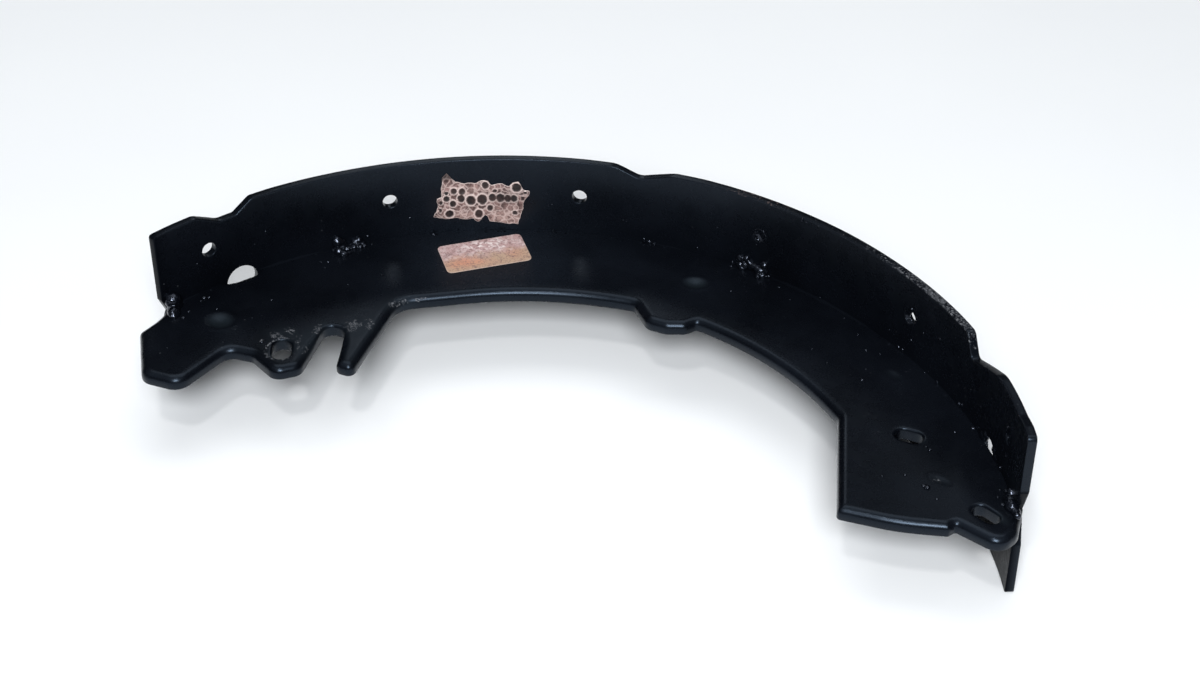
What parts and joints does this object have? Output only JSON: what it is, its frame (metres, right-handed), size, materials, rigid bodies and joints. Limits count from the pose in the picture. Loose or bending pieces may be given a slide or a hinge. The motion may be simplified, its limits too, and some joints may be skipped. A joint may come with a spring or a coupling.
{
  "type": "brake shoe",
  "caption": "Drum-brake shoe without lining: curved steel table welded to a flat web with shaped inner edge, rivet holes, spring and adjuster holes, gloss black paint.",
  "frame": {"origin": "centre of the overall box on its underside; the shoe lies on the lower edge of its table, and the drum axis stands 82.6 mm from the origin towards -Y", "axes": "+Z along the drum axis, +Y towards the middle of the table's arc, +X along the chord, from the tab and finger end towards the broad end with two slots"},
  "size_m": [0.262, 0.118, 0.0543],
  "materials": {
    "black_paint": "gloss",
    "label_copper": "satin",
    "label_beige": "matte"
  },
  "bodies": {
    "root": {"shoe_table": "black_paint", "shoe_web": "black_paint", "weld_left": "black_paint", "weld_right": "black_paint", "weld_left_end": "black_paint", "weld_right_end": "black_paint", "torn_label": "label_copper", "web_label": "label_beige"}
  },
  "joints": []
}
